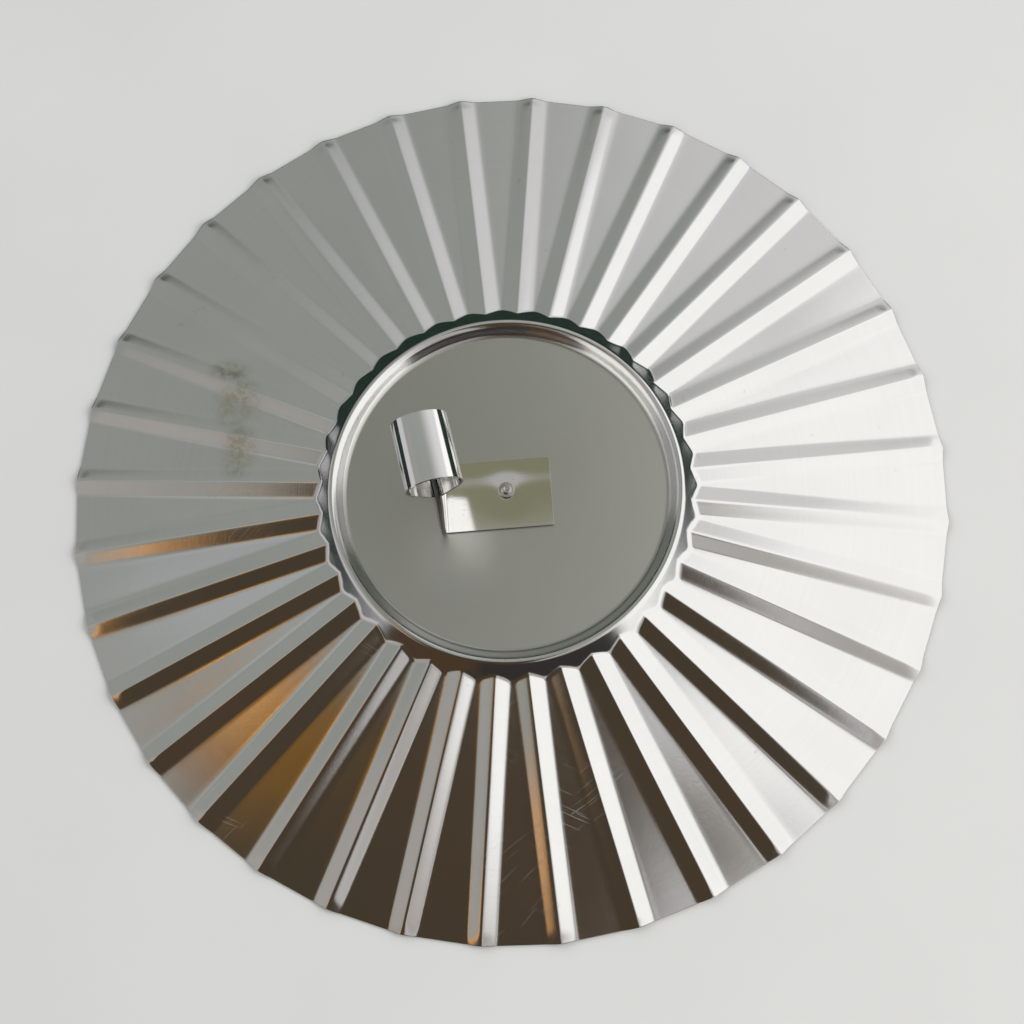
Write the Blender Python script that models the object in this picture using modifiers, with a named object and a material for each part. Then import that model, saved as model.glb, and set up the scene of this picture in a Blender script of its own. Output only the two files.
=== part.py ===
"""Clip-on fluted lamp reflector: a pressed sheet-metal dish, and a spring clip held to its
centre by one rivet. The dish lies face down on its rim with the clip on top.

Frame: metres, +Z up along the dish's axis, away from its mirror side. The origin is on the
dish's axis in the plane of the rim's lower edge. +X runs through the crest of one rib.
"""

import math

import bmesh
import bpy

MM = 0.001

# Dish, in millimetres
RIM_R = 89.0  # rim radius at the foot of the ribs
RIM_CREST_R = 89.3  # rim radius on a rib's crest
SHEET = 0.5  # thickness of the dish's sheet
RIBS = 36
RIB_HALF_W = 2.8  # each rib is two flat flanks of this width, parallel from end to end
RIB_H = 1.1
RIB_RUNOUT = 2.6  # length over which a rib gets lower at the rim
RIB_END_H = 0.85  # rib height left at the rim itself
FOOT_R = 37.8  # where the skirt meets the boss wall
FOOT_RISE = 7.5  # height of the skirt's inner edge over the rim
WALL_R = 36.9
WALL_RISE = 9.2
BEAD_OUT_R = 35.4  # the bead's flat crest
BEAD_IN_R = 34.3
BEAD_RISE = 10.8
DISC_R = 32.6  # flat centre disc
DISC_RISE = 8.2

# Spring clip, in millimetres, measured from the rivet along the clip's own directions
STRIP = 0.4  # thickness of the clip's strip
PLATE_GAP = 0.3  # space between the clip's plate and the disc
PLATE_RIGHT = 9.0
STEM_X = -12.7  # centreline of the leaf that rises from the plate
STRIP_W = 14.0
STRIP_MID_Y = -0.8
BEND_R = 0.7
STEM_H = 26.8  # from the plate's top to where the leaves part
LEAF_SPACE_LOW = 0.6  # centreline to centreline
LEAF_SPACE_HIGH = 1.3
LEAF_FOOT = 0.2  # height of the second leaf's lower end over the plate's top
TUBE_R = 5.2  # centreline radius of the tube
TUBE_H = 34.2  # height of the tube's axis over the plate's top
TUBE_YAW = math.radians(9.4)  # the stem is twisted by this much from plate to tube
TUBE_PITCH = math.radians(12.0)  # the tube's front end stands higher
TUBE_TAPER = 0.008  # the tube is this much wider at its front end and narrower at its back
CLIP_YAW = math.radians(7.5)  # how the clip is turned on its rivet at rest

# Rivet, in millimetres
SHANK_R = 0.9
SHANK_GAP = 0.2
FLANGE_R = 1.6
FLANGE_H = 0.2
NUB_R = 0.92
NUB_H = 1.1  # height of the rivet's nub over the clip's plate
TAIL_R = 1.5
TAIL_H = 0.5
SEAT_GAP = 0.25

DISC_TOP = SHEET + DISC_RISE
PLATE_TOP = DISC_TOP + PLATE_GAP + STRIP

for old in list(bpy.data.objects):
    bpy.data.objects.remove(old, do_unlink=True)

parts = bpy.data.collections.new("clip_on_reflector")
bpy.context.scene.collection.children.link(parts)
cutters = bpy.data.collections.new("cutters")
bpy.context.scene.collection.children.link(cutters)


def material(name, colour, roughness, metallic=1.0):
    mat = bpy.data.materials.new(name)
    mat.use_nodes = True
    shader = mat.node_tree.nodes["Principled BSDF"]
    shader.inputs["Base Color"].default_value = (*colour, 1.0)
    shader.inputs["Roughness"].default_value = roughness
    shader.inputs["Metallic"].default_value = metallic
    return mat


def finish(obj, mat, angle=math.radians(25)):
    obj.data.materials.append(mat)
    obj.data.shade_smooth()
    obj.data.set_sharp_from_angle(angle=angle)


def cutter_cylinder(name, radius, low, high, at=(0.0, 0.0), vertices=32):
    """An upright cylinder that a Boolean takes away."""
    bm = bmesh.new()
    bmesh.ops.create_cone(
        bm,
        cap_ends=True,
        segments=vertices,
        radius1=radius * MM,
        radius2=radius * MM,
        depth=(high - low) * MM,
    )
    mesh = bpy.data.meshes.new(name)
    bm.to_mesh(mesh)
    bm.free()
    obj = bpy.data.objects.new(name, mesh)
    obj.location = (at[0] * MM, at[1] * MM, (low + high) / 2 * MM)
    obj.hide_render = True
    obj.display_type = "WIRE"
    cutters.objects.link(obj)
    return obj


def cut(obj, cutter):
    boolean = obj.modifiers.new("cut_" + cutter.name, "BOOLEAN")
    boolean.operation = "DIFFERENCE"
    boolean.solver = "EXACT"
    boolean.object = cutter


# ---------------------------------------------------------------- dish


def skirt_z(along):
    """Height of the skirt's plain panels at a distance along a rib, a straight cone."""
    share = (RIM_R - along) / (RIM_R - FOOT_R)
    return SHEET + FOOT_RISE * share


def rib_z(along):
    """Height of a rib over the panels: full, then lower over the last stretch."""
    share = min(1.0, max(0.0, (RIM_CREST_R - along) / RIB_RUNOUT))
    return RIB_END_H + (RIB_H - RIB_END_H) * share


def dish_rows():
    """Rows from the rim to the centre. Each gives, for a rib's crest and for its two edges,
    the radius, the height and the edge's angle from the crest."""
    rows = []
    for along in (RIM_CREST_R, RIM_CREST_R - RIB_RUNOUT, 72.0, 55.0, FOOT_R + 1.2):
        edge_along = along - (RIM_CREST_R - RIM_R) * (along == RIM_CREST_R)
        edge_r = math.hypot(edge_along, RIB_HALF_W)
        angle = math.atan2(RIB_HALF_W, edge_along)
        rows.append((along, skirt_z(along) + rib_z(along), edge_r, skirt_z(edge_along), angle))
    foot_angle = math.asin(RIB_HALF_W / FOOT_R)
    crest_r = FOOT_R - 0.45
    rows.append(
        (crest_r, skirt_z(crest_r) + RIB_H, FOOT_R, SHEET + FOOT_RISE, foot_angle)
    )
    even = 2 * math.pi / RIBS / 3
    turned = [
        (WALL_R, WALL_RISE),
        (WALL_R - 0.85, (WALL_RISE + BEAD_RISE) / 2 + 0.2),
        (BEAD_OUT_R, BEAD_RISE),
        (BEAD_IN_R, BEAD_RISE),
        (BEAD_IN_R - 0.4, BEAD_RISE - 0.4),
        (DISC_R + 0.25, DISC_RISE + 0.35),
        (DISC_R, DISC_RISE + 0.08),
        (DISC_R - 0.6, DISC_RISE),
        (8.0, DISC_RISE),
        (2.0, DISC_RISE),
    ]
    for i, (r, rise) in enumerate(turned):
        blend = min(1.0, (i + 1) / 3)
        angle = foot_angle + (even - foot_angle) * blend
        rows.append((r, SHEET + rise, r, SHEET + rise, angle))
    return rows


def make_dish():
    """A turned sheet whose skirt is drawn into ribs: each rib has a crest and two parallel
    edges, and the panels between them are flat."""
    rows = dish_rows()
    bm = bmesh.new()
    seed = [bm.verts.new((r * MM, 0.0, z * MM)) for r, z, _, _, _ in rows]
    edges = [bm.edges.new(pair) for pair in zip(seed, seed[1:])]
    bmesh.ops.spin(
        bm,
        geom=seed + edges,
        cent=(0, 0, 0),
        axis=(0, 0, 1),
        angle=2 * math.pi,
        steps=RIBS * 3,
        use_merge=True,
    )
    bmesh.ops.remove_doubles(bm, verts=bm.verts[:], dist=0.00001)
    third = 2 * math.pi / RIBS / 3
    by_place = {(round(r, 4), round(z, 4)): row for row in rows for r, z in [row[:2]]}
    for vert in bm.verts:
        r = math.hypot(vert.co.x, vert.co.y) / MM
        row = min(
            by_place.values(), key=lambda q: abs(q[0] - r) + abs(q[1] - vert.co.z / MM)
        )
        column = round(math.atan2(vert.co.y, vert.co.x) / third)
        rib, place = divmod(column + 1, 3)
        crest = rib * 2 * math.pi / RIBS
        if place == 1:
            angle, radius, height = crest, row[0], row[1]
        else:
            angle = crest + (row[4] if place == 2 else -row[4])
            radius, height = row[2], row[3]
        vert.co = (
            radius * math.cos(angle) * MM,
            radius * math.sin(angle) * MM,
            height * MM,
        )
    bmesh.ops.recalc_face_normals(bm, faces=bm.faces[:])
    if sum(face.normal.z for face in bm.faces) < 0:
        bmesh.ops.reverse_faces(bm, faces=bm.faces[:])
    hub = [e for e in bm.edges if e.is_boundary and e.verts[0].co.xy.length < 0.003]
    bmesh.ops.contextual_create(bm, geom=hub)
    mesh = bpy.data.meshes.new("reflector_dish")
    bm.to_mesh(mesh)
    bm.free()
    obj = bpy.data.objects.new("reflector_dish", mesh)
    parts.objects.link(obj)
    solid = obj.modifiers.new("sheet", "SOLIDIFY")
    solid.thickness = SHEET * MM
    solid.offset = -1
    solid.use_even_offset = False
    cut(obj, cutter_cylinder("rivet_hole_in_dish", SHANK_R + SHANK_GAP, 0.0, 20.0))
    finish(obj, material("reflector_dish", (0.78, 0.78, 0.76), 0.12), math.radians(12))
    return obj


# ---------------------------------------------------------------- spring clip


def rounded(points, radii, steps=4):
    """A polyline with its inner corners turned into arcs of the given radii."""
    out = [points[0]]
    for before, here, after, radius in zip(points, points[1:], points[2:], radii):
        ax, az = before[0] - here[0], before[1] - here[1]
        bx, bz = after[0] - here[0], after[1] - here[1]
        la, lb = math.hypot(ax, az), math.hypot(bx, bz)
        ax, az, bx, bz = ax / la, az / la, bx / lb, bz / lb
        half = math.acos(max(-1.0, min(1.0, ax * bx + az * bz))) / 2
        reach = radius / math.tan(half)
        centre_len = radius / math.sin(half)
        mx, mz = ax + bx, az + bz
        lm = math.hypot(mx, mz)
        cx, cz = here[0] + mx / lm * centre_len, here[1] + mz / lm * centre_len
        p = (here[0] + ax * reach - cx, here[1] + az * reach - cz)
        q = (here[0] + bx * reach - cx, here[1] + bz * reach - cz)
        start = math.atan2(p[1], p[0])
        turn = math.atan2(p[0] * q[1] - p[1] * q[0], p[0] * q[0] + p[1] * q[1])
        for i in range(steps + 1):
            a = start + turn * i / steps
            out.append((cx + radius * math.cos(a), cz + radius * math.sin(a)))
    out.append(points[-1])
    return out


def clip_path():
    """The strip's centreline, seen along its width: plate, stem leaf, teardrop-shaped tube,
    and the second leaf back down beside the first."""
    plate_z = PLATE_TOP - STRIP / 2
    top_z = PLATE_TOP + STEM_H
    tube_x = STEM_X - LEAF_SPACE_HIGH / 2
    tube_z = PLATE_TOP + TUBE_H
    reach = tube_z - top_z
    spread = math.acos(TUBE_R / reach)  # from straight down to where the flanks touch
    right = (tube_x + TUBE_R * math.sin(spread), tube_z - TUBE_R * math.cos(spread))
    first = rounded(
        [(PLATE_RIGHT, plate_z), (STEM_X, plate_z), (STEM_X, top_z), right],
        [BEND_R, 1.2],
    )
    steps = 30
    start = spread - math.pi / 2
    sweep = math.pi * 2 - 2 * spread
    arc = [
        (
            tube_x + TUBE_R * math.cos(start + sweep * i / steps),
            tube_z + TUBE_R * math.sin(start + sweep * i / steps),
        )
        for i in range(1, steps)
    ]
    left = (2 * tube_x - right[0], right[1])
    second = rounded(
        [
            left,
            (STEM_X - LEAF_SPACE_HIGH, top_z),
            (STEM_X - LEAF_SPACE_LOW, PLATE_TOP + LEAF_FOOT),
        ],
        [1.2],
    )
    return first + arc + second


def smooth(value):
    value = min(1.0, max(0.0, value))
    return value * value * (3 - 2 * value)


def bend_clip(x, y, z):
    """The hand-bent set of the clip: it twists up the stem, and the tube is tipped and
    a little conical."""
    up = z - PLATE_TOP
    tube_x, tube_z = STEM_X - LEAF_SPACE_HIGH / 2, PLATE_TOP + TUBE_H
    across = y - STRIP_MID_Y
    grown = 1 - TUBE_TAPER * (across / (STRIP_W / 2)) * smooth((up - STEM_H) / 3)
    x, z = tube_x + (x - tube_x) * grown, z if up < STEM_H else tube_z + (z - tube_z) * grown
    z -= across * math.tan(TUBE_PITCH) * smooth((up - 6) / (STEM_H - 4))
    turn = TUBE_YAW * smooth(up / (STEM_H + 2))
    c, s = math.cos(turn), math.sin(turn)
    dx = x - tube_x
    return tube_x + dx * c - across * s, STRIP_MID_Y + dx * s + across * c, z


def make_clip():
    path = clip_path()
    # the long flat and upright runs get rows of their own, so that they can twist
    dense = [path[0]]
    for a, b in zip(path, path[1:]):
        pieces = max(1, round(math.dist(a, b) / 2.6))
        dense += [
            (a[0] + (b[0] - a[0]) * i / pieces, a[1] + (b[1] - a[1]) * i / pieces)
            for i in range(1, pieces + 1)
        ]
    bm = bmesh.new()
    low = STRIP_MID_Y - STRIP_W / 2
    verts = [bm.verts.new((x * MM, low * MM, z * MM)) for x, z in dense]
    edges = [bm.edges.new(pair) for pair in zip(verts, verts[1:])]
    across = 4
    for _ in range(across):
        grown = bmesh.ops.extrude_edge_only(bm, edges=edges)["geom"]
        moved = [g for g in grown if isinstance(g, bmesh.types.BMVert)]
        bmesh.ops.translate(bm, verts=moved, vec=(0, STRIP_W / across * MM, 0))
        edges = [
            g
            for g in grown
            if isinstance(g, bmesh.types.BMEdge) and g.verts[0] in moved and g.verts[1] in moved
        ]
    for vert in bm.verts:
        x, y, z = bend_clip(vert.co.x / MM, vert.co.y / MM, vert.co.z / MM)
        vert.co = (x * MM, y * MM, z * MM)
    bmesh.ops.recalc_face_normals(bm, faces=bm.faces[:])
    mesh = bpy.data.meshes.new("spring_clip")
    bm.to_mesh(mesh)
    bm.free()
    obj = bpy.data.objects.new("spring_clip", mesh)
    parts.objects.link(obj)
    solid = obj.modifiers.new("strip", "SOLIDIFY")
    solid.thickness = STRIP * MM
    solid.offset = 0
    solid.use_even_offset = True
    cut(
        obj,
        cutter_cylinder(
            "rivet_hole_in_clip", SHANK_R + SHANK_GAP, PLATE_TOP - 2.0, PLATE_TOP + 2.0
        ),
    )
    finish(obj, material("spring_clip", (0.74, 0.74, 0.72), 0.07), math.radians(30))
    # the object's origin is on the rivet's axis, about which it turns
    obj.rotation_euler = (0.0, 0.0, CLIP_YAW)
    return obj


# ---------------------------------------------------------------- rivet


def turned(name, profile, steps):
    """A solid of revolution: the profile runs from the axis at the top, down the outer
    side, to the axis at the bottom."""
    mesh = bpy.data.meshes.new(name)
    mesh.from_pydata(
        [(r * MM, 0.0, z * MM) for r, z in profile],
        [(i, i + 1) for i in range(len(profile) - 1)],
        [],
    )
    obj = bpy.data.objects.new(name, mesh)
    parts.objects.link(obj)
    screw = obj.modifiers.new("turned", "SCREW")
    screw.axis = "Z"
    screw.angle = 2 * math.pi
    screw.steps = steps
    screw.render_steps = steps
    screw.use_merge_vertices = True
    screw.merge_threshold = 0.00001
    screw.use_smooth_shade = True
    return obj


def make_rivet():
    flange = PLATE_TOP + SEAT_GAP
    nub_top = PLATE_TOP + NUB_H
    under = DISC_TOP - SHEET - SEAT_GAP
    profile = [
        (0.0, nub_top - 0.12),
        (0.35, nub_top - 0.1),
        (0.6, nub_top),
        (NUB_R - 0.15, nub_top - 0.05),
        (NUB_R, nub_top - 0.22),
        (NUB_R, flange + FLANGE_H),
        (FLANGE_R - 0.12, flange + FLANGE_H - 0.04),
        (FLANGE_R, flange + 0.1),
        (FLANGE_R - 0.05, flange),
        (SHANK_R, flange),
        (SHANK_R, under),
        (TAIL_R - 0.1, under),
        (TAIL_R, under - 0.15),
        (TAIL_R - 0.35, under - 0.4),
        (TAIL_R - 0.9, under - TAIL_H),
        (0.0, under - TAIL_H),
    ]
    obj = turned("rivet", profile, 32)
    obj.data.materials.append(material("rivet", (0.62, 0.61, 0.57), 0.25))
    return obj


make_dish()
make_clip()
make_rivet()
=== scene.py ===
"""Looks for the clip-on fluted lamp reflector: a bright pressed dish lying face down, a
plated spring clip on its back and the rivet that holds it. Lengths in the shape functions
are millimetres; the objects are in metres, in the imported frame."""

import math

import bmesh
import bpy
import numpy as np
from mathutils import Matrix, Vector, noise


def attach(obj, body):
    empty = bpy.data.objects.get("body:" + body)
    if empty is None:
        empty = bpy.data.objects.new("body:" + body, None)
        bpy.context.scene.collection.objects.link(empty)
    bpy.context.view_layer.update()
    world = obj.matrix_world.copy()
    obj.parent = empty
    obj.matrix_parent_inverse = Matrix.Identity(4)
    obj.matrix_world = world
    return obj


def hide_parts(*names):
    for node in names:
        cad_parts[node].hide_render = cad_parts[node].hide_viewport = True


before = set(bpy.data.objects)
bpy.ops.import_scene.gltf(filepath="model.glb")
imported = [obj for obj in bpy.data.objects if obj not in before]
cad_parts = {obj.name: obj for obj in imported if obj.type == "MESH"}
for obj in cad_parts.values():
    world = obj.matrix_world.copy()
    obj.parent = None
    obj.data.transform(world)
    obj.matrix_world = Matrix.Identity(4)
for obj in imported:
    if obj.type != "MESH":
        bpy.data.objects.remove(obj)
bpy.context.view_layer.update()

MM = 0.001

# ------------------------------------------------------------------ dimensions of the CAD
RIM_R = 89.0
RIM_CREST_R = 89.3
SHEET = 0.5
RIBS = 36
RIB_HALF_W = 2.8
RIB_H = 1.1
RIB_RUNOUT = 2.6
RIB_END_H = 0.85
FOOT_R = 37.8
FOOT_RISE = 7.5
BEAD_OUT_R = 35.4
BEAD_IN_R = 34.3
BEAD_RISE = 10.8
DISC_R = 32.6
DISC_RISE = 8.2
DISC_TOP = SHEET + DISC_RISE

STRIP = 0.4
PLATE_GAP = 0.3
PLATE_TOP = DISC_TOP + PLATE_GAP + STRIP
PLATE_RIGHT = 9.0
STEM_X = -12.7
STRIP_W = 14.0
STRIP_MID_Y = -0.8
BEND_R = 0.7
STEM_H = 26.8
LEAF_SPACE_LOW = 0.6
LEAF_SPACE_HIGH = 1.3
LEAF_FOOT = 0.2
TUBE_R = 5.2
TUBE_H = 34.2
TUBE_YAW = math.radians(9.4)
TUBE_PITCH = math.radians(12.0)
TUBE_TAPER = 0.008
CLIP_YAW = math.radians(7.5)

SHANK_R = 0.9
SHANK_GAP = 0.2
FLANGE_R = 1.6
FLANGE_H = 0.2
NUB_R = 0.92
NUB_H = 1.1
TAIL_R = 1.5
TAIL_H = 0.5
SEAT_GAP = 0.25


# ------------------------------------------------------------------ node helpers
class Nodes:
    """A short way to write a material's node tree."""

    def __init__(self, name):
        self.mat = bpy.data.materials.new(name)
        self.mat.use_nodes = True
        self.tree = self.mat.node_tree
        self.shader = self.tree.nodes["Principled BSDF"]

    def add(self, kind, **settings):
        node = self.tree.nodes.new(kind)
        for key, value in settings.items():
            setattr(node, key, value)
        return node

    def link(self, out, into):
        self.tree.links.new(out, into)

    def put(self, socket, value):
        if isinstance(value, bpy.types.NodeSocket):
            self.link(value, socket)
        else:
            socket.default_value = value

    def math(self, op, a, b=0.0, c=None, clamp=False):
        node = self.add("ShaderNodeMath", operation=op, use_clamp=clamp)
        self.put(node.inputs[0], a)
        self.put(node.inputs[1], b)
        if c is not None:
            self.put(node.inputs[2], c)
        return node.outputs[0]

    def combine(self, x, y, z=0.0):
        node = self.add("ShaderNodeCombineXYZ")
        for socket, value in zip(node.inputs, (x, y, z)):
            self.put(socket, value)
        return node.outputs[0]

    def noise(self, vector, scale, detail=2.0, rough=0.5, distortion=0.0):
        node = self.add("ShaderNodeTexNoise")
        self.put(node.inputs["Vector"], vector)
        node.inputs["Scale"].default_value = scale
        node.inputs["Detail"].default_value = detail
        node.inputs["Roughness"].default_value = rough
        node.inputs["Distortion"].default_value = distortion
        return node.outputs["Fac"]

    def ramp(self, value, low, high, out_low=0.0, out_high=1.0, smooth=True):
        node = self.add(
            "ShaderNodeMapRange",
            interpolation_type="SMOOTHSTEP" if smooth else "LINEAR",
        )
        self.put(node.inputs["Value"], value)
        node.inputs["From Min"].default_value = low
        node.inputs["From Max"].default_value = high
        node.inputs["To Min"].default_value = out_low
        node.inputs["To Max"].default_value = out_high
        return node.outputs["Result"]

    def mix(self, factor, a, b):
        node = self.add("ShaderNodeMix", data_type="RGBA")
        self.put(node.inputs["Factor"], factor)
        self.put(node.inputs[6], a)
        self.put(node.inputs[7], b)
        return node.outputs[2]

    def bump(self, height, strength, distance, normal=None):
        node = self.add("ShaderNodeBump")
        node.inputs["Strength"].default_value = strength
        node.inputs["Distance"].default_value = distance
        self.put(node.inputs["Height"], height)
        if normal is not None:
            self.link(normal, node.inputs["Normal"])
        return node.outputs["Normal"]

    def place(self):
        """Object coordinates in millimetres, split up."""
        coord = self.add("ShaderNodeTexCoord")
        scaled = self.add("ShaderNodeVectorMath", operation="SCALE")
        self.link(coord.outputs["Object"], scaled.inputs[0])
        scaled.inputs["Scale"].default_value = 1000.0
        parts = self.add("ShaderNodeSeparateXYZ")
        self.link(scaled.outputs[0], parts.inputs[0])
        return scaled.outputs[0], parts.outputs[0], parts.outputs[1], parts.outputs[2]

    def scratches(self, x, y, angle, scale, thin, sparse, seed):
        """Fine straight scratches along one direction, broken into lengths."""
        c, s = math.cos(angle), math.sin(angle)
        along = self.math("ADD", self.math("MULTIPLY", x, c), self.math("MULTIPLY", y, s))
        across = self.math("SUBTRACT", self.math("MULTIPLY", y, c), self.math("MULTIPLY", x, s))
        bend = self.math("MULTIPLY", self.noise(self.combine(x, y, seed), 0.02, 1.0), 14.0)
        vec = self.combine(
            self.math("MULTIPLY", along, 0.035 * scale),
            self.math("MULTIPLY", self.math("ADD", across, bend), 2.6 * scale),
            seed,
        )
        lines = self.ramp(self.noise(vec, 1.0, 1.0, 0.3), thin, thin + 0.06)
        where = self.ramp(self.noise(self.combine(x, y, seed + 7.3), 0.045, 2.0), sparse, sparse + 0.12)
        return self.math("MULTIPLY", lines, where)


def dish_material():
    n = Nodes("bright_pressed_metal")
    vec, x, y, z = n.place()
    radius = n.math("SQRT", n.math("ADD", n.math("MULTIPLY", x, x), n.math("MULTIPLY", y, y)))
    angle = n.math("ARCTAN2", y, x)
    disc = n.ramp(radius, DISC_R - 0.2, DISC_R + 0.5, 1.0, 0.0)
    # fine turned brush marks that run round the axis
    ring_fine = n.noise(n.combine(n.math("MULTIPLY", radius, 9.0), n.math("MULTIPLY", angle, 5.0)), 1.0, 3.0, 0.7)
    ring_broad = n.noise(n.combine(n.math("MULTIPLY", radius, 1.6), n.math("MULTIPLY", angle, 1.5), 4.0), 1.0, 2.0, 0.6)
    grain = n.noise(vec, 2.2, 3.0, 0.6)
    cloud = n.noise(vec, 0.05, 3.0, 0.55)
    # hand marks
    s1 = n.scratches(x, y, 0.75, 1.6, 0.68, 0.55, 1.0)
    s2 = n.scratches(x, y, -0.35, 1.9, 0.70, 0.57, 11.0)
    lower = n.ramp(n.math("SUBTRACT", n.math("MULTIPLY", x, -0.5), y), 10.0, 60.0, 0.25, 1.0)
    marks = n.math("MULTIPLY", n.math("MAXIMUM", s1, s2), n.math("MULTIPLY", lower, n.math("SUBTRACT", 1.0, disc)))
    # brown spots, most of them on one side of the skirt
    def patch(cx, cy, rx, ry):
        dx = n.math("DIVIDE", n.math("SUBTRACT", x, cx), rx)
        dy = n.math("DIVIDE", n.math("SUBTRACT", y, cy), ry)
        d = n.math("SQRT", n.math("ADD", n.math("MULTIPLY", dx, dx), n.math("MULTIPLY", dy, dy)))
        return n.ramp(d, 0.2, 1.0, 1.0, 0.0)
    side = n.math("MAXIMUM", patch(-59.0, 23.8, 6.0, 3.6), patch(-56.8, 17.0, 7.0, 7.0))
    side = n.math("MAXIMUM", side, patch(-55.5, 6.5, 5.2, 8.0))
    mottled = n.ramp(n.noise(vec, 0.75, 4.0, 0.6), 0.38, 0.66, 0.35, 1.0)
    stray = n.math("MULTIPLY", n.ramp(n.noise(vec, 0.28, 4.0, 0.6), 0.68, 0.76), 0.3)
    stain = n.math("MAXIMUM", n.math("MULTIPLY", side, mottled), stray)
    tone = n.mix(cloud, (0.80, 0.805, 0.79, 1.0), (0.89, 0.885, 0.87, 1.0))
    tone = n.mix(disc, tone, (0.60, 0.605, 0.555, 1.0))
    tone = n.mix(n.math("MULTIPLY", ring_broad, 0.25), tone, (0.70, 0.70, 0.68, 1.0))
    tone = n.mix(n.math("MULTIPLY", stain, 0.62), tone, (0.50, 0.46, 0.31, 1.0))
    tone = n.mix(n.math("MULTIPLY", marks, 0.25), tone, (0.95, 0.94, 0.92, 1.0))
    n.link(tone, n.shader.inputs["Base Color"])
    n.shader.inputs["Metallic"].default_value = 1.0
    rough = n.math("ADD", n.math("MULTIPLY", ring_fine, 0.06), 0.075)
    rough = n.math("ADD", rough, n.math("MULTIPLY", cloud, 0.05))
    rough = n.math("ADD", rough, n.math("MULTIPLY", disc, 0.19))
    rough = n.math("ADD", rough, n.math("MULTIPLY", stain, 0.22))
    rough = n.math("ADD", rough, n.math("MULTIPLY", marks, 0.12), clamp=True)
    n.link(rough, n.shader.inputs["Roughness"])
    height = n.math("ADD", n.math("MULTIPLY", ring_fine, 0.5), n.math("MULTIPLY", grain, 0.5))
    normal = n.bump(height, 0.10, 0.0001)
    normal = n.bump(n.math("SUBTRACT", 1.0, marks), 0.3, 0.00002, normal)
    n.link(normal, n.shader.inputs["Normal"])
    return n.mat


def clip_material():
    n = Nodes("plated_spring_strip")
    vec, x, y, z = n.place()
    rolled = n.noise(n.combine(n.math("MULTIPLY", x, 0.25), n.math("MULTIPLY", y, 9.0), n.math("MULTIPLY", z, 0.25)), 1.0, 3.0, 0.6)
    cloud = n.noise(vec, 0.18, 3.0, 0.6)
    speck = n.ramp(n.noise(vec, 1.9, 3.0, 0.6), 0.66, 0.74)
    marks = n.math("MAXIMUM", n.scratches(x, y, 0.2, 2.2, 0.64, 0.5, 3.0), n.scratches(x, z, 1.1, 2.2, 0.66, 0.52, 9.0))
    tone = n.mix(cloud, (0.88, 0.875, 0.86, 1.0), (0.96, 0.955, 0.94, 1.0))
    tone = n.mix(n.math("MULTIPLY", speck, 0.35), tone, (0.40, 0.36, 0.30, 1.0))
    n.link(tone, n.shader.inputs["Base Color"])
    n.shader.inputs["Metallic"].default_value = 1.0
    rough = n.math("ADD", n.math("MULTIPLY", rolled, 0.05), 0.045)
    rough = n.math("ADD", rough, n.math("MULTIPLY", speck, 0.15))
    rough = n.math("ADD", rough, n.math("MULTIPLY", marks, 0.15), clamp=True)
    n.link(rough, n.shader.inputs["Roughness"])
    n.link(n.bump(rolled, 0.02, 0.0001), n.shader.inputs["Normal"])
    return n.mat


def rivet_material():
    n = Nodes("clinched_rivet")
    vec, x, y, z = n.place()
    worn = n.noise(vec, 1.6, 4.0, 0.6)
    tone = n.mix(worn, (0.40, 0.39, 0.35, 1.0), (0.66, 0.65, 0.61, 1.0))
    n.link(tone, n.shader.inputs["Base Color"])
    n.shader.inputs["Metallic"].default_value = 1.0
    n.link(n.math("ADD", n.math("MULTIPLY", worn, 0.22), 0.20), n.shader.inputs["Roughness"])
    n.link(n.bump(worn, 0.3, 0.00008), n.shader.inputs["Normal"])
    return n.mat


def floor_material():
    n = Nodes("pale_floor")
    vec, x, y, z = n.place()
    soft = n.noise(vec, 0.02, 4.0, 0.5)
    n.link(n.mix(soft, (0.70, 0.70, 0.69, 1.0), (0.76, 0.76, 0.75, 1.0)), n.shader.inputs["Base Color"])
    n.shader.inputs["Roughness"].default_value = 0.85
    n.shader.inputs["Specular IOR Level"].default_value = 0.2
    return n.mat


# ------------------------------------------------------------------ shapes
def new_piece(name, mesh, mat, body, node):
    obj = bpy.data.objects.new(name, mesh)
    bpy.context.scene.collection.objects.link(obj)
    mesh.materials.clear()
    mesh.materials.append(mat)
    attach(obj, body)
    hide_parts(node)
    return obj


def smax(a, b, k):
    """The larger of two heights, rounded over where they meet."""
    h = np.clip(0.5 + 0.5 * (a - b) / k, 0.0, 1.0)
    return a * h + b * (1 - h) + k * h * (1 - h)


def boss_profile():
    """Height against radius from the centre over the bead and down its outer wall."""
    knots = [
        (0.0, DISC_RISE),
        (DISC_R - 0.3, DISC_RISE),
        (DISC_R + 0.25, DISC_RISE + 0.4),
        (BEAD_IN_R - 0.2, BEAD_RISE - 0.55),
        (BEAD_IN_R + 0.5, BEAD_RISE),
        (BEAD_OUT_R - 0.1, BEAD_RISE),
        (BEAD_OUT_R + 0.3, BEAD_RISE - 0.35),
        (FOOT_R + 0.15, FOOT_RISE + 0.5),
        (FOOT_R + 1.4, FOOT_RISE - 0.8),
    ]
    r = np.arange(0.0, 40.0, 0.02)
    z = np.interp(r, [k[0] for k in knots], [k[1] for k in knots])
    width = 14
    kernel = np.hanning(2 * width + 3)[1:-1]
    kernel /= kernel.sum()
    padded = np.concatenate([np.full(width, z[0]), z, z[-1] + (z[-1] - z[-2]) * np.arange(1, width + 1)])
    return r, SHEET + np.convolve(padded, kernel, mode="valid")


PROFILE = boss_profile()


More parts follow.
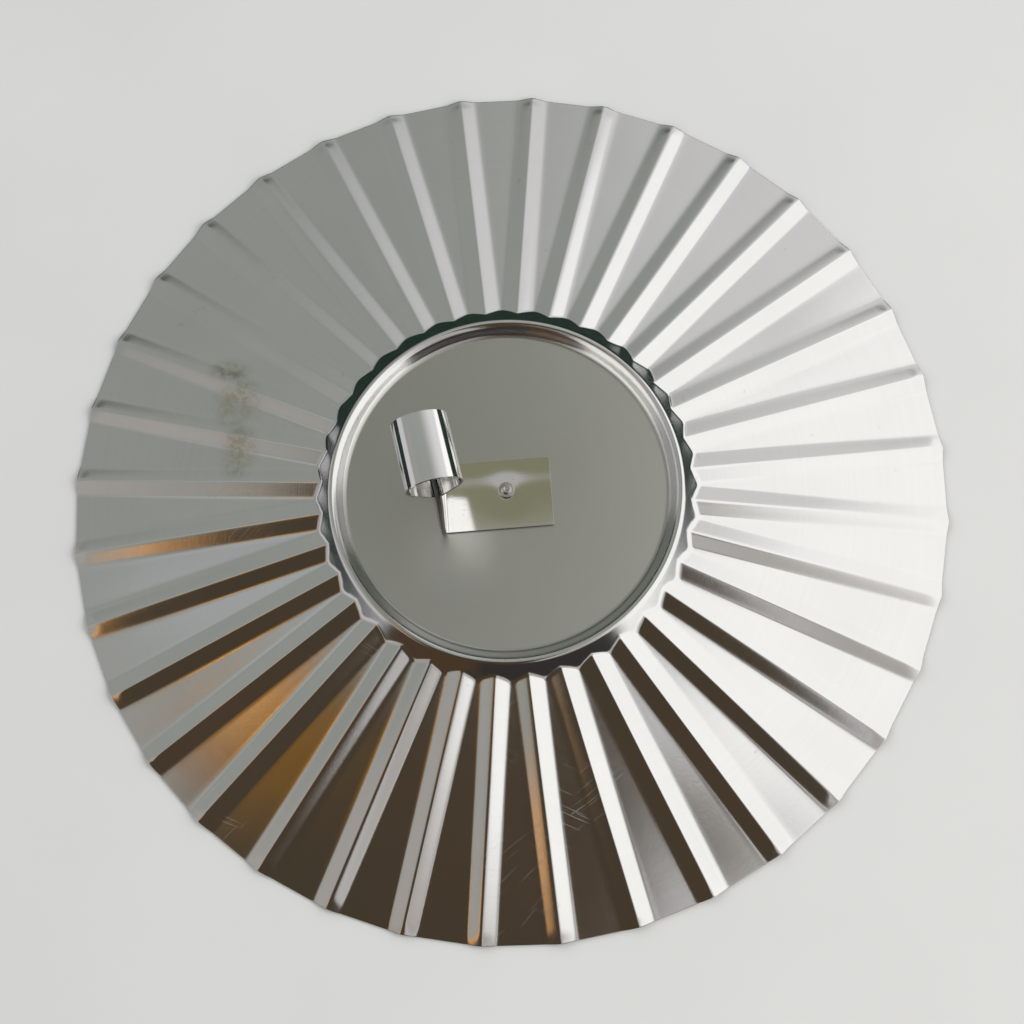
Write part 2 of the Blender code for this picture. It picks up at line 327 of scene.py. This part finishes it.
def dish_height(x, y):
    """Height of the dish's upper face over points given in millimetres."""
    r, th = np.hypot(x, y), np.arctan2(y, x)
    pitch = 2 * math.pi / RIBS
    d = th - np.round(th / pitch) * pitch
    along, off = r * np.cos(d), r * np.sin(d)
    half = pitch / 2
    fall = FOOT_RISE / (RIM_R - FOOT_R)
    p = r * np.cos(half - np.abs(d))
    panel = SHEET + fall * (RIM_R - (p - RIB_HALF_W * math.sin(half)) / math.cos(half))
    share = np.clip((RIM_CREST_R - along) / RIB_RUNOUT, 0.0, 1.0)
    share = share * share * (3 - 2 * share)
    rib = RIB_END_H + (RIB_H - RIB_END_H) * share
    soft = np.sqrt(off**2 + 0.28**2)
    tent = SHEET + fall * (RIM_R - along) + rib * (1 - soft / RIB_HALF_W) + 0.08
    skirt = smax(tent, panel, 0.18)
    boss = np.interp(r, PROFILE[0], PROFILE[1])
    both = smax(skirt, boss, 0.4)
    return np.where(r < 36.2, boss, np.where(r > 39.1, skirt, both))


def unevenness(x, y):
    """Slow waviness of pressed sheet, a few hundredths of a millimetre."""
    out = np.zeros(len(x))
    for i, (a, b) in enumerate(zip(x, y)):
        out[i] = noise.noise((a / 26.0, b / 26.0, 0.4)) * 0.08 + noise.noise((a / 10.0, b / 10.0, 5.1)) * 0.02
    return out


def make_dish():
    pitch = 2 * math.pi / RIBS
    across = [0.0, 0.06, 0.13, 0.25, 0.5, 0.75, 0.88, 1.0]
    rib_cols = [-a for a in reversed(across[1:])] + across
    panel_cols = [0.04, 0.1, 0.2, 0.35, 0.5, 0.65, 0.8, 0.9, 0.96]
    per = len(rib_cols) + len(panel_cols)
    columns = per * RIBS
    straight = [RIM_CREST_R - v for v in (0.0, 0.05, 0.15, 0.35, 0.7, 1.1, 1.6, 2.2, 3.0)]
    straight += list(np.linspace(84.5, 41.0, 20)) + [40.2, 39.6, 39.2]
    turned = [38.9, 38.6, 38.35, 38.1, 37.85, 37.6, 37.35, 37.1, 36.8, 36.4, 36.0, 35.75, 35.5, 35.25]
    turned += [35.0, 34.6, 34.2, 33.9, 33.65, 33.4, 33.15, 32.9, 32.65, 32.4, 32.2, 32.0, 31.8, 31.5]
    turned += [30.5, 28.0, 24.0, 19.0, 14.0, 9.5, 6.0, 3.5, 2.0, SHANK_R + SHANK_GAP]
    xy = []
    for a in straight:
        runout = (RIM_CREST_R - RIM_R) * max(0.0, 1 - (RIM_CREST_R - a) / 0.7)
        for k in range(RIBS):
            c, s = math.cos(k * pitch), math.sin(k * pitch)
            c2, s2 = math.cos((k + 1) * pitch), math.sin((k + 1) * pitch)
            for t in rib_cols:
                off, al = t * RIB_HALF_W, a - runout * abs(t) ** 1.5
                xy.append((al * c - off * s, al * s + off * c))
            al = a - runout
            p = np.array((al * c - RIB_HALF_W * s, al * s + RIB_HALF_W * c))
            q = np.array((al * c2 + RIB_HALF_W * s2, al * s2 - RIB_HALF_W * c2))
            for t in panel_cols:
                xy.append(tuple(p + (q - p) * t))
    for r in turned:
        edge = math.asin(min(1.0, RIB_HALF_W / max(r, 20.0)))
        blend = min(1.0, max(0.0, (36.4 - r) / 2.0))
        for k in range(RIBS):
            places = [t * edge for t in rib_cols] + [edge + (pitch - 2 * edge) * t for t in panel_cols]
            for i, place in enumerate(places):
                even = (i - len(across) + 1) * pitch / per
                angle = k * pitch + place * (1 - blend) + even * blend
                xy.append((r * math.cos(angle), r * math.sin(angle)))
    xy = np.array(xy)
    x, y = xy[:, 0], xy[:, 1]
    top = dish_height(x, y) + unevenness(x, y)
    rows = len(straight) + len(turned)
    # the sheet's cut edge is very slightly rounded
    top[:columns] -= 0.04
    top[columns : 2 * columns] -= 0.01
    bottom = top - SHEET
    bottom[:columns] += 0.18
    bottom[columns : 2 * columns] += 0.05
    verts = np.concatenate([np.column_stack([x, y, top]), np.column_stack([x, y, bottom])]) * MM
    count = rows * columns
    i = np.arange(rows - 1)[:, None] * columns
    j = np.arange(columns)[None, :]
    k = (np.arange(columns)[None, :] + 1) % columns
    quads = np.stack([i + j, i + k, i + columns + k, i + columns + j], axis=-1).reshape(-1, 4)
    under = quads[:, ::-1] + count
    j, k = np.arange(columns), (np.arange(columns) + 1) % columns
    rim = np.stack([j + count, k + count, k, j], axis=-1)
    last = (rows - 1) * columns
    hole = np.stack([last + j, last + k, last + k + count, last + j + count], axis=-1)
    faces = np.concatenate([quads, under, rim, hole])
    mesh = bpy.data.meshes.new("fluted_dish")
    mesh.from_pydata(verts.tolist(), [], faces.tolist())
    mesh.validate()
    mesh.shade_smooth()
    mesh.set_sharp_from_angle(angle=math.radians(50))
    return new_piece("fluted_dish", mesh, dish_material(), "dish", "reflector_dish")


def rounded(points, radii, steps):
    """A polyline with its inner corners turned into arcs of the given radii."""
    out = [points[0]]
    for before, here, after, radius in zip(points, points[1:], points[2:], radii):
        a = np.array(before) - here
        b = np.array(after) - here
        a, b = a / np.linalg.norm(a), b / np.linalg.norm(b)
        half = math.acos(max(-1.0, min(1.0, float(a @ b)))) / 2
        mid = (a + b) / np.linalg.norm(a + b)
        centre = np.array(here) + mid * radius / math.sin(half)
        reach = radius / math.tan(half)
        p, q = np.array(here) + a * reach - centre, np.array(here) + b * reach - centre
        start = math.atan2(p[1], p[0])
        turn = math.atan2(p[0] * q[1] - p[1] * q[0], float(p @ q))
        for i in range(steps + 1):
            t = start + turn * i / steps
            out.append((centre[0] + radius * math.cos(t), centre[1] + radius * math.sin(t)))
    out.append(points[-1])
    return out


def clip_path():
    plate_z = PLATE_TOP - STRIP / 2
    top_z = PLATE_TOP + STEM_H
    tube_x = STEM_X - LEAF_SPACE_HIGH / 2
    tube_z = PLATE_TOP + TUBE_H
    spread = math.acos(TUBE_R / (tube_z - top_z))
    right = (tube_x + TUBE_R * math.sin(spread), tube_z - TUBE_R * math.cos(spread))
    first = rounded([(PLATE_RIGHT, plate_z), (STEM_X, plate_z), (STEM_X, top_z), right], [BEND_R, 1.2], 8)
    steps = 72
    start, sweep = spread - math.pi / 2, math.pi * 2 - 2 * spread
    arc = [
        (tube_x + TUBE_R * math.cos(start + sweep * i / steps), tube_z + TUBE_R * math.sin(start + sweep * i / steps))
        for i in range(1, steps)
    ]
    left = (2 * tube_x - right[0], right[1])
    second = rounded([left, (STEM_X - LEAF_SPACE_HIGH, top_z), (STEM_X - LEAF_SPACE_LOW, PLATE_TOP + LEAF_FOOT)], [1.2], 8)
    return first + arc + second


def smooth(value):
    value = min(1.0, max(0.0, value))
    return value * value * (3 - 2 * value)


def bend_clip(x, y, z):
    up = z - PLATE_TOP
    tube_x, tube_z = STEM_X - LEAF_SPACE_HIGH / 2, PLATE_TOP + TUBE_H
    across = y - STRIP_MID_Y
    grown = 1 - TUBE_TAPER * (across / (STRIP_W / 2)) * smooth((up - STEM_H) / 3)
    x, z = tube_x + (x - tube_x) * grown, z if up < STEM_H else tube_z + (z - tube_z) * grown
    z -= across * math.tan(TUBE_PITCH) * smooth((up - 6) / (STEM_H - 4))
    turn = TUBE_YAW * smooth(up / (STEM_H + 2))
    c, s = math.cos(turn), math.sin(turn)
    dx = x - tube_x
    x, y = tube_x + dx * c - across * s, STRIP_MID_Y + dx * s + across * c
    if up < 0.3:
        # the rivet has drawn the plate down a little round itself
        rho = math.hypot(x, y)
        z -= 0.16 * math.exp(-((rho / 3.4) ** 2)) + 0.05 * smooth((2.2 - rho) / 1.2)
        # and its far side is bowed up a little
        z += 0.07 * smooth((y - 0.6) / 3.4)
    return x, y, z


def evaluated(obj):
    """The object's mesh with its modifiers worked in."""
    graph = bpy.context.evaluated_depsgraph_get()
    return bpy.data.meshes.new_from_object(obj.evaluated_get(graph), depsgraph=graph)


def make_clip():
    path = clip_path()
    dense = [path[0]]
    for a, b in zip(path, path[1:]):
        pieces = max(1, round(math.dist(a, b) / 0.7))
        dense += [(a[0] + (b[0] - a[0]) * i / pieces, a[1] + (b[1] - a[1]) * i / pieces) for i in range(1, pieces + 1)]
    across = 20
    low = STRIP_MID_Y - STRIP_W / 2
    c, s = math.cos(CLIP_YAW), math.sin(CLIP_YAW)
    verts = []
    for px, pz in dense:
        for i in range(across + 1):
            x, y, z = bend_clip(px, low + STRIP_W * i / across, pz)
            verts.append(((x * c - y * s) * MM, (x * s + y * c) * MM, z * MM))
    n = across + 1
    faces = [
        (a * n + b, (a + 1) * n + b, (a + 1) * n + b + 1, a * n + b + 1)
        for a in range(len(dense) - 1)
        for b in range(across)
    ]
    mesh = bpy.data.meshes.new("strip")
    mesh.from_pydata(verts, [], faces)
    work = bpy.data.objects.new("strip_work", mesh)
    bpy.context.scene.collection.objects.link(work)
    solid = work.modifiers.new("thickness", "SOLIDIFY")
    solid.thickness = STRIP * MM
    solid.offset = 0
    solid.use_even_offset = True
    bm = bmesh.new()
    bmesh.ops.create_cone(
        bm, cap_ends=True, segments=48, radius1=(SHANK_R + SHANK_GAP) * MM, radius2=(SHANK_R + SHANK_GAP) * MM, depth=4 * MM
    )
    punch_mesh = bpy.data.meshes.new("punch")
    bm.to_mesh(punch_mesh)
    bm.free()
    punch = bpy.data.objects.new("punch", punch_mesh)
    punch.location = (0, 0, (PLATE_TOP - STRIP / 2) * MM)
    bpy.context.scene.collection.objects.link(punch)
    hole = work.modifiers.new("hole", "BOOLEAN")
    hole.operation = "DIFFERENCE"
    hole.solver = "EXACT"
    hole.object = punch
    bevel = work.modifiers.new("edges", "BEVEL")
    bevel.width = 0.06 * MM
    bevel.segments = 2
    bevel.limit_method = "ANGLE"
    bevel.angle_limit = math.radians(60)
    bevel.harden_normals = True
    mesh.shade_smooth()
    done = evaluated(work)
    done.name = "bent_clip"
    for helper in (work, punch):
        bpy.data.objects.remove(helper, do_unlink=True)
    return new_piece("bent_clip", done, clip_material(), "clip", "spring_clip")


def make_rivet():
    flange = PLATE_TOP + SEAT_GAP - 0.12
    top = PLATE_TOP + NUB_H
    under = DISC_TOP - SHEET - SEAT_GAP + 0.1
    # an upright nub with a shallow dimple punched in its top
    profile = [(0.0, top - 0.13), (0.15, top - 0.125), (0.3, top - 0.10), (0.42, top - 0.05), (0.55, top - 0.01), (0.66, top)]
    for i in range(1, 8):
        a = math.radians(90 * i / 7)
        profile.append((NUB_R - 0.24 + 0.24 * math.sin(a), top - 0.24 * (1 - math.cos(a))))
    profile += [(NUB_R, flange + FLANGE_H + 0.12), (NUB_R + 0.03, flange + FLANGE_H + 0.03), (NUB_R + 0.12, flange + FLANGE_H - 0.01)]
    for i in range(7):
        a = math.radians(90 * i / 6)
        profile.append((FLANGE_R - 0.14 + 0.14 * math.sin(a), flange + 0.06 + (FLANGE_H - 0.07) * math.cos(a)))
    profile += [(FLANGE_R - 0.04, flange), (SHANK_R, flange), (SHANK_R, under), (TAIL_R - 0.08, under)]
    for i in range(9):
        a = math.radians(90 * i / 8)
        profile.append((TAIL_R - 0.3 + 0.3 * math.cos(a), under - 0.08 - 0.36 * math.sin(a)))
    profile += [(0.55, under - TAIL_H + 0.02), (0.4, under - TAIL_H + 0.16), (0.0, under - TAIL_H + 0.2)]
    mesh = bpy.data.meshes.new("rivet_profile")
    mesh.from_pydata([(r * MM, 0.0, z * MM) for r, z in profile], [(i, i + 1) for i in range(len(profile) - 1)], [])
    work = bpy.data.objects.new("rivet_work", mesh)
    bpy.context.scene.collection.objects.link(work)
    screw = work.modifiers.new("turned", "SCREW")
    screw.axis = "Z"
    screw.angle = 2 * math.pi
    screw.steps = 72
    screw.render_steps = 72
    screw.use_merge_vertices = True
    screw.merge_threshold = 0.00001
    done = evaluated(work)
    bpy.data.objects.remove(work, do_unlink=True)
    done.name = "clinched_rivet"
    # hammered unevenness of the nub and tail
    for v in done.vertices:
        p = v.co / MM
        lift = noise.noise((p.x * 1.3, p.y * 1.3, p.z * 0.7)) * 0.035
        v.co.z += lift * MM if p.z > PLATE_TOP + 0.6 or p.z < under - 0.3 else 0.0
    done.shade_smooth()
    done.set_sharp_from_angle(angle=math.radians(45))
    return new_piece("clinched_rivet", done, rivet_material(), "dish", "rivet")


make_dish()
make_clip()
make_rivet()


# ------------------------------------------------------------------ floor, light, camera
def plane(name, corners):
    mesh = bpy.data.meshes.new(name)
    mesh.from_pydata(corners, [], [(0, 1, 2, 3)])
    obj = bpy.data.objects.new(name, mesh)
    bpy.context.scene.collection.objects.link(obj)
    return obj


FLOOR = 6.0
ground = plane("floor", [(-FLOOR, -FLOOR, -0.0002), (FLOOR, -FLOOR, -0.0002), (FLOOR, FLOOR, -0.0002), (-FLOOR, FLOOR, -0.0002)])
ground.data.materials.append(floor_material())
ground.visible_glossy = False


HERE = (0.0, 0.0, 0.01)


def surroundings():
    """A plain room painted in soft patches on a dome over the object, which only the metal
    sees. A place on the dome is given by how far it leans from straight up, in degrees,
    towards +X and towards +Y."""
    bm = bmesh.new()
    bmesh.ops.create_uvsphere(bm, u_segments=128, v_segments=64, radius=0.3)
    mesh = bpy.data.meshes.new("room_dome")
    bm.to_mesh(mesh)
    bm.free()
    dome = bpy.data.objects.new("room_dome", mesh)
    bpy.context.scene.collection.objects.link(dome)
    dome.visible_camera = False
    dome.visible_shadow = False
    dome.visible_diffuse = False
    n = Nodes("room")
    mesh.materials.append(n.mat)
    coord = n.add("ShaderNodeTexCoord")
    parts = n.add("ShaderNodeSeparateXYZ")
    n.link(coord.outputs["Object"], parts.inputs[0])
    dx, dy, dz = parts.outputs
    level = n.math("MAXIMUM", n.math("SQRT", n.math("ADD", n.math("MULTIPLY", dx, dx), n.math("MULTIPLY", dy, dy))), 0.00001)
    lean = n.math("MULTIPLY", n.math("ARCTAN2", level, dz), 180.0 / math.pi)
    u = n.math("MULTIPLY", lean, n.math("DIVIDE", dx, level))
    v = n.math("MULTIPLY", lean, n.math("DIVIDE", dy, level))
    round_ = n.math("MULTIPLY", n.math("ARCTAN2", dy, dx), 180.0 / math.pi)
    round_ = n.math("ADD", round_, n.math("MULTIPLY", n.math("LESS_THAN", round_, 0.0), 360.0))

    def box(u0, u1, v0, v1, soft):
        across = n.math("MULTIPLY", n.ramp(u, u0 - soft, u0 + soft), n.ramp(u, u1 - soft, u1 + soft, 1.0, 0.0))
        along = n.math("MULTIPLY", n.ramp(v, v0 - soft, v0 + soft), n.ramp(v, v1 - soft, v1 + soft, 1.0, 0.0))
        return n.math("MULTIPLY", across, along)

    def spot(u0, v0, ru, rv, core=0.3):
        a = n.math("DIVIDE", n.math("SUBTRACT", u, u0), ru)
        b = n.math("DIVIDE", n.math("SUBTRACT", v, v0), rv)
        return n.ramp(n.math("SQRT", n.math("ADD", n.math("MULTIPLY", a, a), n.math("MULTIPLY", b, b))), core, 1.0, 1.0, 0.0)

    def sector(a0, a1, soft):
        return n.math("MULTIPLY", n.ramp(round_, a0 - soft, a0 + soft), n.ramp(round_, a1 - soft, a1 + soft, 1.0, 0.0))

    # walls and ceiling: grey on the left, lighter towards the window
    uneven = n.noise(coord.outputs["Object"], 9.0, 3.0, 0.6)
    left = n.mix(uneven, (0.265, 0.279, 0.258, 1.0), (0.35, 0.358, 0.343, 1.0))
    tone = n.mix(n.ramp(u, -16.0, 28.0), left, (0.69, 0.68, 0.69, 1.0))
    tone = n.mix(n.math("MULTIPLY", n.ramp(u, -37.0, -46.0), n.ramp(v, 4.0, -14.0)), tone, (0.40, 0.375, 0.36, 1.0))
    # the light part of the ceiling overhead and the darker fitting beyond it
    tone = n.mix(spot(-4.0, 16.0, 20.0, 9.0), tone, (0.205, 0.205, 0.135, 1.0))
    tone = n.mix(box(-26.0, 22.0, 0.0, 10.5, 2.0), tone, (0.40, 0.40, 0.40, 1.0))
    tone = n.mix(spot(-33.0, 0.5, 15.0, 8.5, 0.4), tone, (0.40, 0.42, 0.425, 1.0))
    # brown furniture and the person at the camera
    tone = n.mix(box(18.0, 70.0, -70.0, -25.0, 3.0), tone, (0.43, 0.40, 0.385, 1.0))
    dark = n.mix(n.noise(coord.outputs["Object"], 14.0, 2.0), (0.082, 0.048, 0.028, 1.0), (0.048, 0.045, 0.032, 1.0))
    tone = n.mix(box(-33.0, 14.0, -90.0, -11.5, 2.0), tone, dark)
    tone = n.mix(box(-34.5, -29.0, -90.0, -25.5, 1.6), tone, dark)
    tone = n.mix(spot(21.0, -20.5, 9.0, 6.0, 0.4), tone, (0.13, 0.108, 0.088, 1.0))
    # a lamp and what it lights, at the edge of the dark part
    tone = n.mix(spot(-25.0, -17.0, 7.5, 6.5, 0.5), tone, (0.17, 0.088, 0.018, 1.0))
    tone = n.mix(spot(-29.5, -12.8, 8.0, 5.8, 0.5), tone, (0.31, 0.128, 0.020, 1.0))
    tone = n.mix(box(-37.0, -34.0, -44.0, -26.5, 1.3), tone, (0.95, 0.45, 0.13, 1.0))
    tone = n.mix(spot(-31.0, -11.0, 3.6, 2.6, 0.2), tone, (1.1, 0.62, 0.22, 1.0))
    # low down: dark beyond the far side, grey on the left, brown and near black in front
    ring = n.mix(sector(158.0, 224.0, 4.0), (0.014, 0.030, 0.023, 1.0), (0.56, 0.54, 0.57, 1.0))
    ring = n.mix(sector(224.0, 262.0, 4.0), ring, (0.075, 0.045, 0.026, 1.0))
    ring = n.mix(sector(262.0, 318.0, 5.0), ring, (0.034, 0.031, 0.030, 1.0))
    tone = n.mix(n.ramp(lean, 67.0, 73.0), tone, ring)
    # the window
    lower = n.math("MAXIMUM", n.ramp(v, -25.0, -12.0), n.ramp(u, 36.0, 52.0))
    lower = n.math("MAXIMUM", lower, n.math("MULTIPLY", n.ramp(u, 22.0, 36.0), n.ramp(v, -42.0, -22.0)))
    near = n.math("MULTIPLY", n.ramp(u, 19.0, 23.5), n.ramp(v, 32.0, 28.0))
    far = n.math("MULTIPLY", n.ramp(n.math("SUBTRACT", u, n.math("MULTIPLY", v, 0.4)), 14.0, 21.0), n.ramp(u, 24.0, 32.0))
    side = n.math("MAXIMUM", n.ramp(round_, 17.0, 11.0), n.ramp(round_, 314.0, 321.0))
    side = n.math("MAXIMUM", side, n.ramp(lean, 73.0, 67.0))
    side = n.math("MAXIMUM", side, n.math("MULTIPLY", n.ramp(round_, 62.0, 52.0), n.ramp(lean, 86.0, 82.0)))
    window = n.math("MULTIPLY", n.math("MULTIPLY", n.math("MAXIMUM", near, far), lower), side)
    pane = n.mix(uneven, (0.96, 0.955, 0.955, 1.0), (1.16, 1.15, 1.13, 1.0))
    tone = n.mix(window, tone, pane)
    # the table beyond the rim
    tone = n.mix(n.ramp(lean, 88.0, 91.0), tone, (0.020, 0.034, 0.026, 1.0))
    glow = n.add("ShaderNodeEmission")
    n.link(tone, glow.inputs["Color"])
    glow.inputs["Strength"].default_value = 1.0
    n.link(glow.outputs[0], n.tree.nodes["Material Output"].inputs["Surface"])
    n.tree.nodes.remove(n.shader)

    world = bpy.data.worlds.new("studio")
    bpy.context.scene.world = world
    world.use_nodes = True
    world.node_tree.nodes["Background"].inputs["Color"].default_value = (0.5, 0.5, 0.495, 1.0)


surroundings()


def area(name, location, size, power, colour):
    light = bpy.data.lights.new(name, "AREA")
    light.shape = "RECTANGLE"
    light.size, light.size_y = size
    light.energy = power
    light.color = colour
    obj = bpy.data.objects.new(name, light)
    obj.location = location
    obj.rotation_mode = "QUATERNION"
    obj.rotation_quaternion = (Vector(location) - Vector(HERE)).to_track_quat("Z", "Y")
    obj.visible_glossy = False
    obj.visible_camera = False
    bpy.context.scene.collection.objects.link(obj)
    return obj


area("key", (0.7, -0.1, 0.75), (0.8, 0.8), 6.0, (1.0, 0.985, 0.96))
area("fill", (-0.8, 0.5, 0.9), (1.0, 1.0), 3.0, (0.95, 0.98, 1.0))

# The camera looks down from about 14 degrees off the dish's axis.
cam_data = bpy.data.cameras.new("camera")
cam_data.sensor_width = 36.0
cam_data.lens = 70.3125
cam_data.clip_start = 0.01
cam_data.clip_end = 20.0
cam = bpy.data.objects.new("camera", cam_data)
turn = Matrix(
    (
        (0.99752459, 0.05851113, -0.03900171),
        (-0.04741418, 0.96926172, 0.24142),
        (0.05192862, -0.23897315, 0.96963666),
    )
)
shift = Vector((-0.00872, 0.02372, -4.60389854)) * 0.089
cam.matrix_world = Matrix.Translation(-(turn.transposed() @ shift)) @ turn.transposed().to_4x4()
bpy.context.scene.collection.objects.link(cam)
bpy.context.scene.camera = cam
bpy.context.scene.view_settings.view_transform = "Standard"
